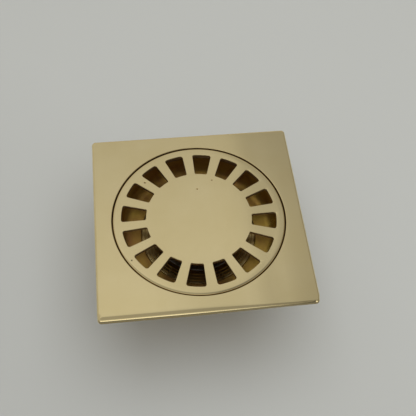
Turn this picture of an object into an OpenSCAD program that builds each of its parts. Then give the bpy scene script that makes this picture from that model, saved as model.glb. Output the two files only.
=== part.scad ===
// Square brass floor drain: a panel with a round lift-out grate over a bowl,
// and a spring-closed trap core with a hair basket in the outlet.
// Millimetres. +Z is up, and the origin is the centre of the outlet's lower end.

/* [Panel] */
// Side of the square panel
panel_side = 100; // [98:1:120]
// Thickness of the panel at its edge
panel_thick = 3; // [2.6:0.1:3.6]
// Radius of the panel's top edges and of its corners
panel_edge_r = 2; // [1:0.1:2.2]
// Height from the outlet's lower end to the panel's top
total_height = 50; // [50:1:58]

/* [Grate] */
// Diameter of the round grate
grate_d = 82.8; // [82:0.1:84]
// Gap between the grate and its seat, all round
grate_gap = 0.4; // [0.2:0.1:0.6]
// Thickness of the grate inside its deeper rim
grate_web = 1.8; // [1.5:0.1:2.6]
// Radius of the grate's top edge
grate_edge_r = 1.2; // [0.6:0.1:1.6]
// Number of slots
slot_count = 16; // [12:1:18]
// Radius at the slots' inner ends
slot_inner_r = 25.4; // [24:0.1:28]
// Radius at the slots' outer ends
slot_outer_r = 37.2; // [35:0.1:37.6]
// Width of a slot at its inner end
slot_inner_w = 5.8; // [4:0.1:6.4]
// Width of a slot at its outer end
slot_outer_w = 9.4; // [7:0.1:10]
// Length of the rounding at a slot's corners
slot_corner = 1.1; // [0.6:0.1:1.6]
// Angle of the first slot from +X
slot_phase = 14.6; // [0:0.1:22.4]

/* [Bowl] */
// Depth of the bowl's floor below the panel's top
bowl_depth = 15; // [14:0.5:16]
// Radius of the curve between the bowl's floor and its wall
bowl_curve_r = 6; // [4:0.5:7]
// Thickness of the bowl's wall and floor
bowl_wall = 2.5; // [2.2:0.1:3]

/* [Outlet] */
// Outside diameter of the outlet spigot
spigot_d = 45; // [45:0.5:46]
// Wall thickness of the outlet spigot
spigot_wall = 2; // [1.8:0.1:2]

/* [Trap core] */
// Diameter of the core's flange
core_flange_d = 56; // [54:1:58]
// Diameter of the core's barrel
core_barrel_d = 40; // [39.8:0.1:40.2]
// Depth of the hair basket below the core's flange
basket_depth = 7.4; // [6:0.2:7.6]
// Height of the basket's folding handle above its pivot when raised
bail_reach = 9.4; // [8:0.2:9.6]
// Travel of the valve, which also sets how far its closed face sits above the outlet's lower end
valve_travel = 4.5; // [3:0.5:4.5]

/* [Hidden] */
$fn = 96;

eps = 0.05;            // overlap that keeps cuts clean

// Levels, upwards from the outlet's lower end
top_z = total_height;
panel_under_z = top_z - panel_thick;
grate_thick = 3;         // at the rim
grate_under_z = top_z - grate_thick;
grate_web_z = top_z - grate_web;
grate_ring_thick = 0.6;
ledge_z = grate_under_z - grate_ring_thick;
ledge_thick = 2.4;
collar_under_z = ledge_z - ledge_thick;
floor_z = top_z - bowl_depth;
flange_thick = 1.5;
flange_seat_z = floor_z - flange_thick;
bowl_under_z = floor_z - bowl_wall;

// Radii of the panel, the grate's seat and the bowl
grate_r = grate_d / 2;
seat_r = grate_r + grate_gap;
ledge_r = 38.5;
grate_rim_in_r = 38.2;
collar_r = 45;
bowl_outer_r = ledge_r + bowl_wall;
bowl_rim_entry = 1.4;    // how far the bowl's rim goes up into the collar
bowl_rim_z = collar_under_z + bowl_rim_entry;
flange_r = core_flange_d / 2;
flange_gap = 0.3;
spigot_r = spigot_d / 2;
spigot_bore_r = spigot_r - spigot_wall;
spigot_collar_width = 2.5;
spigot_collar_r = spigot_r + spigot_collar_width;
spigot_collar_thick = 2;
spigot_chamfer = 1;

// Levels of the valve's parts when closed, upwards from the opened valve's clearance
opened_clearance = 0.4;
stem_tail = 0.5;
nut_thick = 2;
washer_thick = 0.8;
disc_thick = 1.4;
seal_thick = 1.4;
stem_under_z = opened_clearance + valve_travel;
nut_under_z = stem_under_z + stem_tail;
washer_under_z = nut_under_z + nut_thick;
disc_under_z = washer_under_z + washer_thick;
seal_under_z = disc_under_z + disc_thick;

// Trap core
barrel_r = core_barrel_d / 2;
barrel_bore_r = 17.8;
barrel_lip_r = 16.6;
barrel_lip_thick = 1.5;
barrel_end_z = seal_under_z + seal_thick;
bridge_z = barrel_end_z + barrel_lip_thick;
bridge_thick = 2.2;
circlip_thick = 0.9;
circlip_z = bridge_z + bridge_thick;
circlip_groove_r = 18.5;
o_ring_section = 1.5;
o_ring_groove_depth = 1.05;
o_ring_side_gap = 0.1;
o_ring_levels = [flange_seat_z - 4.5, flange_seat_z - 11];
flange_line_radii = [23.2, 24.8, 26.4];
flange_line_half = 0.15;

// Hair basket
basket_sheet = 0.7;
basket_r = 16.8;
basket_rim_r = 20.8;
basket_rim_thick = 0.8;
basket_gap = 0.3;
basket_seat_r = basket_rim_r + basket_gap;
basket_rim_low_z = floor_z - basket_rim_thick;
basket_floor_z = floor_z - basket_depth;
basket_hole_d = 2.4;
basket_hole_pitch = 4;
bail_wire_d = 1.2;
bail_pivot_x = 18.4;
bail_pivot_rise = 1.3;
bail_pivot_z = floor_z + bail_pivot_rise;
bail_bend_r = 3;
bail_pin_tail = 0.6;
ear_thick = 1;
ear_width = 3.2;
ear_hole_d = bail_wire_d + 0.2;

// Valve
valve_r = 19.2;
valve_rim_step = 0.4;    // the disc is this much smaller than the seal all round
washer_r = 5;
nut_across = 7;
stem_r = 2;
stem_shoulder_r = 3.2;
stem_shoulder_thick = 1.2;
hub_r = 4.5;
hub_height = 3;
hub_z = bridge_z + hub_height;
bush_r = 3;
bush_flange = 0.6;
bush_bore_r = stem_r + 0.06;
spring_wire_d = 0.4;
spring_r = 3.4;
spring_turns = 6;
spring_low_z = hub_z + bush_flange;
cap_thick = 0.8;
cap_skirt = 0.8;
cap_skirt_gap = 0.6;     // from the spring's wire centre to the skirt
cap_skirt_wall = 0.6;
cap_clearance = 0.4;
stem_top_z = basket_floor_z - cap_clearance;
cap_under_z = stem_top_z - nut_thick - cap_thick;

brass = [0.80, 0.68, 0.40];
dull_brass = [0.66, 0.52, 0.28];
steel = [0.72, 0.73, 0.75];
rubber = [0.08, 0.08, 0.08];
silicone = [0.86, 0.86, 0.82];
nylon = [0.93, 0.92, 0.86];

// A flat ring between two radii
module ring(outer_r, inner_r, low_z, high_z) {
    translate([0, 0, low_z])
        difference() {
            cylinder(r = outer_r, h = high_z - low_z);
            translate([0, 0, -eps]) cylinder(r = inner_r, h = high_z - low_z + 2 * eps);
        }
}

// A plain disc
module disc(r, low_z, high_z) {
    translate([0, 0, low_z]) cylinder(r = r, h = high_z - low_z);
}

// A hexagonal nut, measured across its flats
module hex_nut(across, bore_r, low_z, high_z) {
    translate([0, 0, low_z])
        difference() {
            cylinder(d = across / cos(30), h = high_z - low_z, $fn = 6);
            translate([0, 0, -eps]) cylinder(r = bore_r, h = high_z - low_z + 2 * eps);
        }
}

// The panel's side view along X: a bar whose two upper long edges are rounded
module round_topped_bar() {
    half = panel_side / 2 - panel_edge_r;
    rotate([90, 0, 90])
        translate([0, 0, -panel_side / 2])
            linear_extrude(panel_side)
                union() {
                    translate([-panel_side / 2, 0]) square([panel_side, panel_thick - panel_edge_r]);
                    translate([-half, 0]) square([2 * half, panel_thick]);
                    for (side = [-1, 1])
                        translate([side * half, panel_thick - panel_edge_r]) circle(r = panel_edge_r);
                }
}

// The panel's outline from above: a square with rounded corners
module round_cornered_block() {
    half = panel_side / 2 - panel_edge_r;
    for (turn = [0, 90])
        rotate([0, 0, turn])
            translate([-panel_side / 2, -half, 0])
                cube([panel_side, 2 * half, panel_thick]);
    for (x = [-1, 1], y = [-1, 1])
        translate([x * half, y * half, 0]) cylinder(r = panel_edge_r, h = panel_thick);
}

// The square plate with rounded top edges and corners
module rounded_plate() {
    intersection() {
        round_topped_bar();
        rotate([0, 0, 90]) round_topped_bar();
        round_cornered_block();
    }
}

// Square panel: the plate, and under it the collar with the ledge that carries the grate
module panel() {
    color(brass)
        difference() {
            union() {
                translate([0, 0, panel_under_z]) rounded_plate();
                disc(collar_r, collar_under_z, panel_under_z + eps);
            }
            disc(seat_r, ledge_z, top_z + eps);
            disc(ledge_r, collar_under_z - eps, ledge_z + eps);
            disc(bowl_outer_r, collar_under_z - eps, bowl_rim_z);
        }
}

// A turned block with a rounded lower edge
module cup_block(r, low_z, high_z) {
    curve_r = bowl_curve_r;
    rotate_extrude()
        union() {
            translate([0, low_z + curve_r]) square([r, high_z - low_z - curve_r]);
            translate([0, low_z]) square([r - curve_r, curve_r + eps]);
            translate([r - curve_r, low_z + curve_r]) circle(r = curve_r);
        }
}

// Bowl: a turned cup with a curved corner, and a stepped seat round the outlet
module bowl() {
    color(dull_brass)
        difference() {
            cup_block(bowl_outer_r, bowl_under_z, bowl_rim_z);
            cup_block(ledge_r, floor_z, bowl_rim_z + eps);
            disc(flange_r + flange_gap, flange_seat_z, floor_z + eps);
            disc(spigot_r, bowl_under_z - eps, floor_z);
        }
}

// Outlet spigot: a tube let into the bowl's floor up to its collar
module spigot() {
    color(dull_brass)
        difference() {
            union() {
                disc(spigot_r, spigot_chamfer, flange_seat_z);
                cylinder(r1 = spigot_r - spigot_chamfer, r2 = spigot_r, h = spigot_chamfer);
                disc(spigot_collar_r, bowl_under_z - spigot_collar_thick, bowl_under_z);
            }
            disc(spigot_bore_r, -eps, flange_seat_z + eps);
        }
}

// Points of a slot's rounded corner: a curve from a to c that turns at b
function corner_points(a, b, c, steps = 5) =
    [for (i = [0:steps]) let (t = i / steps) pow(1 - t, 2) * a + 2 * t * (1 - t) * b + t * t * c];

function polar(r, angle) = [r * cos(angle), r * sin(angle)];

// A slot's outline about +X: two arcs round the grate's centre, joined by straight sides
function slot_outline() =
    let (
        inner_a = asin(slot_inner_w / 2 / slot_inner_r),
        outer_a = asin(slot_outer_w / 2 / slot_outer_r),
        side = polar(slot_outer_r, outer_a) - polar(slot_inner_r, inner_a),
        along = slot_corner / norm(side),
        inner_cut = inner_a * (1 - slot_corner / (slot_inner_w / 2)),
        outer_cut = outer_a * (1 - slot_corner / (slot_outer_w / 2)),
        upper = concat(
            corner_points(polar(slot_inner_r, inner_cut), polar(slot_inner_r, inner_a),
                          polar(slot_inner_r, inner_a) + along * side),
            corner_points(polar(slot_outer_r, outer_a) - along * side, polar(slot_outer_r, outer_a),
                          polar(slot_outer_r, outer_cut)),
            [polar(slot_outer_r, outer_cut / 3)]
        )
    )
    concat(upper, [for (i = [len(upper) - 1:-1:0]) [upper[i][0], -upper[i][1]]]);

// Round grate: a ring of slots, a rounded top edge and a rim that goes deeper than the rest
module grate() {
    flat_r = grate_r - grate_edge_r;
    side_height = grate_thick - grate_edge_r;
    color(brass)
        difference() {
            translate([0, 0, grate_under_z])
                rotate_extrude()
                    union() {
                        square([flat_r, grate_thick]);
                        square([grate_r, side_height]);
                        translate([flat_r, side_height]) circle(r = grate_edge_r);
                    }
            disc(grate_rim_in_r, grate_under_z - eps, grate_web_z);
            for (i = [0:slot_count - 1])
                rotate([0, 0, slot_phase + i * 360 / slot_count])
                    translate([0, 0, grate_web_z - eps])
                        linear_extrude(grate_web + 2 * eps) polygon(slot_outline());
        }
}

// Rubber ring that the grate lies on
module grate_ring() {
    color(rubber) ring(grate_r - 0.2, ledge_r + 0.3, ledge_z, grate_under_z);
}

// Hair basket: a pressed cup with a flat rim, a pierced floor and two ears for its handle
module basket() {
    ear_height = bail_pivot_z + ear_width / 2 - basket_rim_low_z;
    color(steel)
        difference() {
            union() {
                disc(basket_r, basket_floor_z, floor_z);
                disc(basket_rim_r, basket_rim_low_z, floor_z);
                for (side = [-1, 1])
                    translate([side * bail_pivot_x - ear_thick / 2, -ear_width / 2, basket_rim_low_z])
                        cube([ear_thick, ear_width, ear_height]);
            }
            disc(basket_r - basket_sheet, basket_floor_z + basket_sheet, floor_z + eps);
            for (side = [-1, 1])
                translate([side * bail_pivot_x - ear_thick, 0, bail_pivot_z])
                    rotate([0, 90, 0]) cylinder(d = ear_hole_d, h = 2 * ear_thick);
            translate([0, 0, basket_floor_z - eps]) basket_holes();
        }
}

// Rings of holes round a central one
module basket_holes() {
    cylinder(d = basket_hole_d, h = basket_sheet + 2 * eps);
    for (ring_no = [1:3], i = [0:6 * ring_no - 1])
        rotate([0, 0, i * 60 / ring_no])
            translate([ring_no * basket_hole_pitch, 0, 0])
                cylinder(d = basket_hole_d, h = basket_sheet + 2 * eps);
}

// A quarter bend of round wire in the XY plane, about the origin
module wire_bend(r, wire_d) {
    rotate_extrude(angle = 90) translate([r, 0]) circle(d = wire_d);
}

// Folding wire handle, lying flat across the basket's mouth
module basket_bail() {
    ear_gap = 0.3;
    inner_x = bail_pivot_x - ear_thick / 2 - bail_wire_d / 2 - ear_gap;
    pin_out = bail_pivot_x + ear_thick / 2 + bail_pin_tail;
    leg = bail_reach - bail_bend_r;
    color(steel)
        translate([0, 0, bail_pivot_z])
            union() {
                for (side = [-1, 1])
                    mirror([side < 0 ? 1 : 0, 0, 0]) {
                        translate([inner_x, 0, 0]) rotate([0, 90, 0])
                            cylinder(d = bail_wire_d, h = pin_out - inner_x);
                        translate([inner_x, 0, 0]) sphere(d = bail_wire_d);
                        translate([inner_x, 0, 0]) rotate([-90, 0, 0]) cylinder(d = bail_wire_d, h = leg);
                        translate([inner_x - bail_bend_r, leg, 0]) wire_bend(bail_bend_r, bail_wire_d);
                    }
                translate([-inner_x + bail_bend_r, bail_reach, 0]) rotate([0, 90, 0])
                    cylinder(d = bail_wire_d, h = 2 * (inner_x - bail_bend_r));
            }
}

// Core body: the flange that seats in the bowl's floor and the barrel that carries the valve
module core_body() {
    groove_r = barrel_r - o_ring_groove_depth;
    groove_half = o_ring_section / 2 + o_ring_side_gap;
    color(brass)
        difference() {
            union() {
                disc(flange_r, flange_seat_z, floor_z);
                disc(barrel_r, barrel_end_z, flange_seat_z + eps);
            }
            disc(barrel_bore_r, bridge_z, floor_z + eps);
            disc(barrel_lip_r, barrel_end_z - eps, bridge_z + eps);
            disc(basket_seat_r, basket_rim_low_z, floor_z + eps);
            disc(circlip_groove_r, circlip_z, circlip_z + circlip_thick);
            for (z = o_ring_levels)
                ring(barrel_r + eps, groove_r, z - groove_half, z + groove_half);
            for (r = flange_line_radii)
                ring(r + flange_line_half, r - flange_line_half, floor_z - flange_line_half, floor_z + eps);
        }
}

// A rubber O-ring in its groove, flattened a little against the groove's floor
module o_ring(level) {
    groove_r = barrel_r - o_ring_groove_depth;
    color(rubber)
        rotate_extrude()
            intersection() {
                translate([groove_r + o_ring_section / 2 - 0.05, level]) circle(d = o_ring_section);
                translate([groove_r, level - o_ring_section]) square(2 * o_ring_section);
            }
}

module upper_o_ring() { o_ring(o_ring_levels[0]); }
module lower_o_ring() { o_ring(o_ring_levels[1]); }

// Guide bridge: a ring, three arms and the hub that guides the stem
module guide_bridge() {
    fit_gap = 0.1;
    ring_width = 2;
    ring_r = barrel_bore_r - fit_gap;
    ring_in_r = ring_r - ring_width;
    arm_width = 2.6;
    color(dull_brass)
        difference() {
            union() {
                disc(ring_r, bridge_z, bridge_z + bridge_thick);
                disc(hub_r, bridge_z, hub_z);
            }
            translate([0, 0, bridge_z - eps])
                linear_extrude(bridge_thick + 2 * eps)
                    difference() {
                        circle(r = ring_in_r);
                        circle(r = hub_r);
                        for (turn = [90, 210, 330])
                            rotate(turn) translate([0, -arm_width / 2]) square([ring_r, arm_width]);
                    }
            disc(bush_r, bridge_z - eps, hub_z + eps);
        }
}

// Open spring ring that holds the bridge down on its step
module bridge_circlip() {
    gap_width = 9;
    fit_gap = 0.1;
    inner_r = barrel_bore_r - 1.4;
    color(steel)
        difference() {
            ring(circlip_groove_r - fit_gap, inner_r, circlip_z, circlip_z + circlip_thick);
            translate([0, -gap_width / 2, circlip_z - eps])
                cube([circlip_groove_r, gap_width, circlip_thick + 2 * eps]);
        }
}

// Flanged nylon bush for the stem
module guide_bush() {
    color(nylon)
        difference() {
            union() {
                disc(bush_r, bridge_z, hub_z + eps);
                disc(hub_r - 0.1, hub_z, hub_z + bush_flange);
            }
            disc(bush_bore_r, bridge_z - eps, hub_z + bush_flange + eps);
        }
}

// Valve stem with the shoulder that bears on the seal
module valve_stem() {
    color(steel)
        union() {
            disc(stem_r, stem_under_z, stem_top_z);
            disc(stem_shoulder_r, barrel_end_z, barrel_end_z + stem_shoulder_thick);
        }
}

// Silicone face seal that closes the barrel's lower end
module valve_seal() {
    color(silicone) ring(valve_r, stem_r, seal_under_z, barrel_end_z);
}

// Brass disc that backs the seal
module valve_disc() {
    color(brass) ring(valve_r - valve_rim_step, stem_r, disc_under_z, seal_under_z);
}

module clamp_washer() {
    color(steel) ring(washer_r, stem_r, washer_under_z, disc_under_z);
}

module lock_nut() {
    color(steel) hex_nut(nut_across, stem_r, nut_under_z, washer_under_z);
}

// Cupped cap that the spring pushes up against
module spring_cap() {
    skirt_r = spring_r + cap_skirt_gap;
    color(brass)
        difference() {
            disc(skirt_r + cap_skirt_wall, cap_under_z - cap_skirt, cap_under_z + cap_thick);
            disc(skirt_r, cap_under_z - cap_skirt - eps, cap_under_z);
            disc(stem_r, cap_under_z - eps, cap_under_z + cap_thick + eps);
        }
}

module cap_nut() {
    color(steel) hex_nut(nut_across, stem_r, cap_under_z + cap_thick, stem_top_z);
}

// Compression spring: round wire swept along a helix, closed at each end by a flat turn
module valve_spring() {
    wire_r = spring_wire_d / 2;
    sides = 8;
    steps_per_turn = 20;
    closed_pitch = 0.55 * spring_wire_d;     // rise per turn where the end turns lie flat
    low = spring_low_z + wire_r;
    high = cap_under_z - wire_r;
    steps = round(spring_turns * steps_per_turn);
    end_turn = 0.75;
    pitch_turns = spring_turns - 2 * end_turn;
    // Height share along the wire: level through each end turn, rising evenly between them
    function rise(turns) = min(1, max(0, (turns - end_turn) / pitch_turns));
    function wire_point(step, side) =
        let (
            turns = step / steps_per_turn,
            angle = 360 * turns,
            closing = closed_pitch * (min(turns, end_turn) + max(0, turns - spring_turns + end_turn)),
            span = high - low - 2 * closed_pitch * end_turn,
            r = spring_r + wire_r * cos(360 * side / sides),
            z = low + closing + span * rise(turns) + wire_r * sin(360 * side / sides)
        )
        [r * cos(angle), r * sin(angle), z];
    points = [for (step = [0:steps], side = [0:sides - 1]) wire_point(step, side)];
    walls = [
        for (step = [0:steps - 1], side = [0:sides - 1])
            let (next = (side + 1) % sides)
            [step * sides + side, (step + 1) * sides + side, (step + 1) * sides + next, step * sides + next]
    ];
    ends = [[for (side = [0:sides - 1]) side], [for (side = [sides - 1:-1:0]) steps * sides + side]];
    color(steel) polyhedron(points, concat(walls, ends));
}

panel();
bowl();
spigot();
grate();
grate_ring();
basket();
basket_bail();
core_body();
upper_o_ring();
lower_o_ring();
guide_bridge();
bridge_circlip();
guide_bush();
valve_stem();
valve_seal();
valve_disc();
clamp_washer();
lock_nut();
spring_cap();
cap_nut();
valve_spring();
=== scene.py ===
"""Square brass floor drain: a polished panel with a round lift-out grate over a turned bowl,
and in its outlet a trap core with a hair basket and a spring-closed valve.

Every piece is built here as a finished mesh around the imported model, in metres, in its frame."""
import math

import bmesh
import bpy
from mathutils import Euler, Matrix, Vector
from mathutils.geometry import tessellate_polygon


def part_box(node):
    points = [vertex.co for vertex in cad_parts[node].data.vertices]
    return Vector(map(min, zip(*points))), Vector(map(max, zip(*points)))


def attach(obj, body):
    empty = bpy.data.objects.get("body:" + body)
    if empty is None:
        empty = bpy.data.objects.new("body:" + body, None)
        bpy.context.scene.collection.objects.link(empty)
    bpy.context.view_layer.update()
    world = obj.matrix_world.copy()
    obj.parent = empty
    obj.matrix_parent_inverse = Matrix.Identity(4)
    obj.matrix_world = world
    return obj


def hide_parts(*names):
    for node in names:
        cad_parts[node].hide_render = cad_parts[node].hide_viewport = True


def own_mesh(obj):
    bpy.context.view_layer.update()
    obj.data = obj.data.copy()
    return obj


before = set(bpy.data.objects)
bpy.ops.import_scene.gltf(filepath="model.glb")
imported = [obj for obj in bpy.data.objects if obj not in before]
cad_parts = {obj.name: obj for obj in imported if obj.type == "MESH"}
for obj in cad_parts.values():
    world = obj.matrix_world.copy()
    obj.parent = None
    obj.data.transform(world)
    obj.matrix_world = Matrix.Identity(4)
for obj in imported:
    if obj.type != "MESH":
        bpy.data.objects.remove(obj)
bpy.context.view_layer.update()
MM = 0.001
SEGMENTS = 192           # facets round a turned piece
FILLET_STEPS = 5
STRAIGHT = math.pi - 1e-3
SHARE_OF_STRETCH = 0.48  # the most that a corner's arc takes of the stretch beside it


# ---------------------------------------------------------------- sizes taken from the frame

def low(node):
    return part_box(node)[0]


def high(node):
    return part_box(node)[1]


TOP = high("panel").z                     # the panel's and the grate's upper face
HALF = high("panel").x                    # half the panel's side
PANEL_UNDER = TOP - 3 * MM
CORNER_R = 2 * MM                         # rounding of the panel's corners, seen from above
GRATE_R = high("grate").x
GRATE_LOW = low("grate").z
SEAT_R = GRATE_R + 0.4 * MM
LEDGE = low("grate_ring").z
COLLAR_R = 45 * MM
COLLAR_LOW = low("panel").z
BOWL_R = high("bowl").x
BOWL_IN_R = BOWL_R - 2.5 * MM
BOWL_CURVE = 6 * MM
BOWL_TOP = high("bowl").z
BOWL_LOW = low("bowl").z
FLOOR = high("core_body").z               # the bowl's floor and the core's flange, which are level
FLANGE_R = high("core_body").x
FLANGE_LOW = FLOOR - 1.5 * MM
SPIGOT_R = 22.5 * MM
SPIGOT_IN_R = SPIGOT_R - 2 * MM
SPIGOT_COLLAR_R = high("spigot").x
BARREL_R = 20 * MM
BARREL_IN_R = 17.8 * MM
BARREL_LOW = low("core_body").z
BRIDGE_LOW = low("guide_bridge").z
HUB_TOP = high("guide_bridge").z
BASKET_LOW = low("basket").z
BASKET_RIM_R = high("basket").x
BASKET_R = 16.8 * MM
BASKET_RIM_LOW = FLOOR - 0.8 * MM
SHEET = 0.7 * MM                          # thickness of the basket's sheet
BAIL_Z = (low("basket_bail").z + high("basket_bail").z) / 2
BAIL_WIRE_R = (high("basket_bail").z - low("basket_bail").z) / 2
STEM_R = 2 * MM


# ---------------------------------------------------------------- mesh tools

def fillet(points, closed=True):
    """Profile points (x, y, radius) with each corner that has a radius turned into an arc."""
    made = []
    count = len(points)
    for i, (x, y, radius) in enumerate(points):
        here = Vector((x, y))
        if radius <= 0 or (not closed and i in (0, count - 1)):
            made.append(here)
            continue
        before = Vector(points[i - 1][:2]) - here
        after = Vector(points[(i + 1) % count][:2]) - here
        corner = before.angle(after)
        if corner > STRAIGHT:            # a straight stretch has no corner to round
            made.append(here)
            continue
        room = SHARE_OF_STRETCH * min(before.length, after.length)
        reach = min(radius / math.tan(corner / 2), room)
        arc_r = reach * math.tan(corner / 2)
        centre = here + (before.normalized() + after.normalized()).normalized() * (
            arc_r / math.sin(corner / 2))
        start = here + before.normalized() * reach - centre
        end = here + after.normalized() * reach - centre
        turn = start.angle_signed(end)
        for k in range(FILLET_STEPS + 1):
            made.append(centre + Matrix.Rotation(-turn * k / FILLET_STEPS, 2) @ start)
    return made


def ring_of(count, radius, z):
    """Points of a level circle."""
    return [Vector((radius * math.cos(2 * math.pi * i / count),
                    radius * math.sin(2 * math.pi * i / count), z)) for i in range(count)]


def skin(bm, rings, along=False):
    """Quads between closed rings of points. along joins the last ring to the first."""
    rows = [[bm.verts.new(p) for p in ring] for ring in rings]
    count = len(rows[0])
    for i in range(len(rows) if along else len(rows) - 1):
        this, following = rows[i], rows[(i + 1) % len(rows)]
        for j in range(count):
            k = (j + 1) % count
            bm.faces.new((this[j], this[k], following[k], following[j]))
    return rows


def cap(bm, loops):
    """Fills the flat area between an outer loop of vertices and its holes."""
    verts = [v for loop in loops for v in loop]
    for a, b, c in tessellate_polygon([[v.co for v in loop] for loop in loops]):
        bm.faces.new((verts[a], verts[b], verts[c]))


def piece(name, bm, body, node, material, sharp=34):
    """Turns a bmesh into a finished piece that rides on its body and stands for its CAD node."""
    bmesh.ops.remove_doubles(bm, verts=bm.verts, dist=1e-7)
    bmesh.ops.dissolve_degenerate(bm, dist=1e-7, edges=bm.edges)
    bmesh.ops.recalc_face_normals(bm, faces=bm.faces)
    limit = math.radians(sharp)
    for edge in bm.edges:
        edge.smooth = edge.calc_face_angle(math.pi) < limit
    for face in bm.faces:
        face.smooth = True
    mesh = bpy.data.meshes.new(name)
    bm.to_mesh(mesh)
    bm.free()
    made = bpy.data.objects.new(name, mesh)
    bpy.context.scene.collection.objects.link(made)
    weighted = made.modifiers.new("weighted normals", "WEIGHTED_NORMAL")
    weighted.keep_sharp = True
    mesh.materials.append(material)
    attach(made, body)
    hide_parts(node)
    return made


def lathe(bm, profile, closed=True, segments=SEGMENTS):
    """Turns a profile of (radius, z) points about the Z axis, and joins its ends if it is closed."""
    rings = [ring_of(segments, max(p[0], 0), p[1]) for p in profile]
    return skin(bm, rings, along=closed)


def turned(profile, segments=SEGMENTS):
    """A bmesh of one turned solid, from a closed profile of (radius, z, fillet)."""
    bm = bmesh.new()
    lathe(bm, fillet(profile), segments=segments)
    return bm


def washer_profile(outer, inner, z_low, z_high, outer_edge, inner_edge):
    return [(outer, z_low, outer_edge), (outer, z_high, outer_edge),
            (inner, z_high, inner_edge), (inner, z_low, inner_edge)]


def inset_loop(points, distance):
    """A flat outline moved sideways by distance, to the left of its direction of travel."""
    moved = []
    for i, p in enumerate(points):
        a = (p - points[i - 1]).normalized()
        b = (points[(i + 1) % len(points)] - p).normalized()
        normal = Vector((-(a + b).y, (a + b).x)).normalized()
        moved.append(p + normal * distance / max(0.3, normal.dot(Vector((-a.y, a.x)))))
    return moved


def edge_steps(z_low, z_high, low_r, high_r):
    """(inset, z) steps up a plate's edge, with its lower and upper corners rounded."""
    quarter = [math.pi / 2 * k / FILLET_STEPS for k in range(FILLET_STEPS + 1)]
    lower = [(low_r * (1 - math.sin(a)), z_low + low_r * (1 - math.cos(a))) for a in quarter]
    upper = [(high_r * (1 - math.cos(a)), z_high - high_r * (1 - math.sin(a))) for a in quarter]
    return lower + upper


def plate(bm, outer, holes, z_low, z_high, outer_r, hole_r):
    """A flat plate with holes. outer runs anticlockwise and holes clockwise; outer_r and hole_r are
    (lower, upper) edge roundings."""
    bottoms, tops = [], []
    for outline, radii in [(outer, outer_r)] + [(hole, hole_r) for hole in holes]:
        rings = [[Vector((q.x, q.y, z)) for q in inset_loop(outline, inset)]
                 for inset, z in edge_steps(z_low, z_high, *radii)]
        rows = skin(bm, rings)
        bottoms.append(rows[0])
        tops.append(rows[-1])
    cap(bm, bottoms)
    cap(bm, tops)


def circle_outline(radius, count, centre=(0, 0), clockwise=False):
    turn = -1 if clockwise else 1
    return [Vector((centre[0] + radius * math.cos(2 * math.pi * i / count),
                    centre[1] + turn * radius * math.sin(2 * math.pi * i / count)))
            for i in range(count)]


def sweep(bm, path, radius, sides=20, round_ends=True):
    """A round wire along a path of points."""
    path = [Vector(p) for p in path]
    heading = [(path[min(i + 1, len(path) - 1)] - path[max(i - 1, 0)]).normalized()
               for i in range(len(path))]
    across = heading[0].orthogonal().normalized()
    rings = []
    sections = [(i, 0.0, 1.0) for i in range(len(path))]
    if round_ends:
        angles = [math.pi / 2 * k / 4 for k in range(1, 4)]
        start = [(0, -math.sin(a), math.cos(a)) for a in reversed(angles)]
        end = [(len(path) - 1, math.sin(a), math.cos(a)) for a in angles]
        sections = start + sections + end
    for i, forward, size in sections:
        across = (across - heading[i] * across.dot(heading[i])).normalized()
        over = heading[i].cross(across)
        centre = path[i] + heading[i] * forward * radius
        rings.append([centre + (across * math.cos(2 * math.pi * k / sides)
                                + over * math.sin(2 * math.pi * k / sides)) * radius * size
                      for k in range(sides)])
    rows = skin(bm, rings)
    bm.faces.new(rows[0][::-1])
    bm.faces.new(rows[-1])


# ---------------------------------------------------------------- material tools

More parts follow.
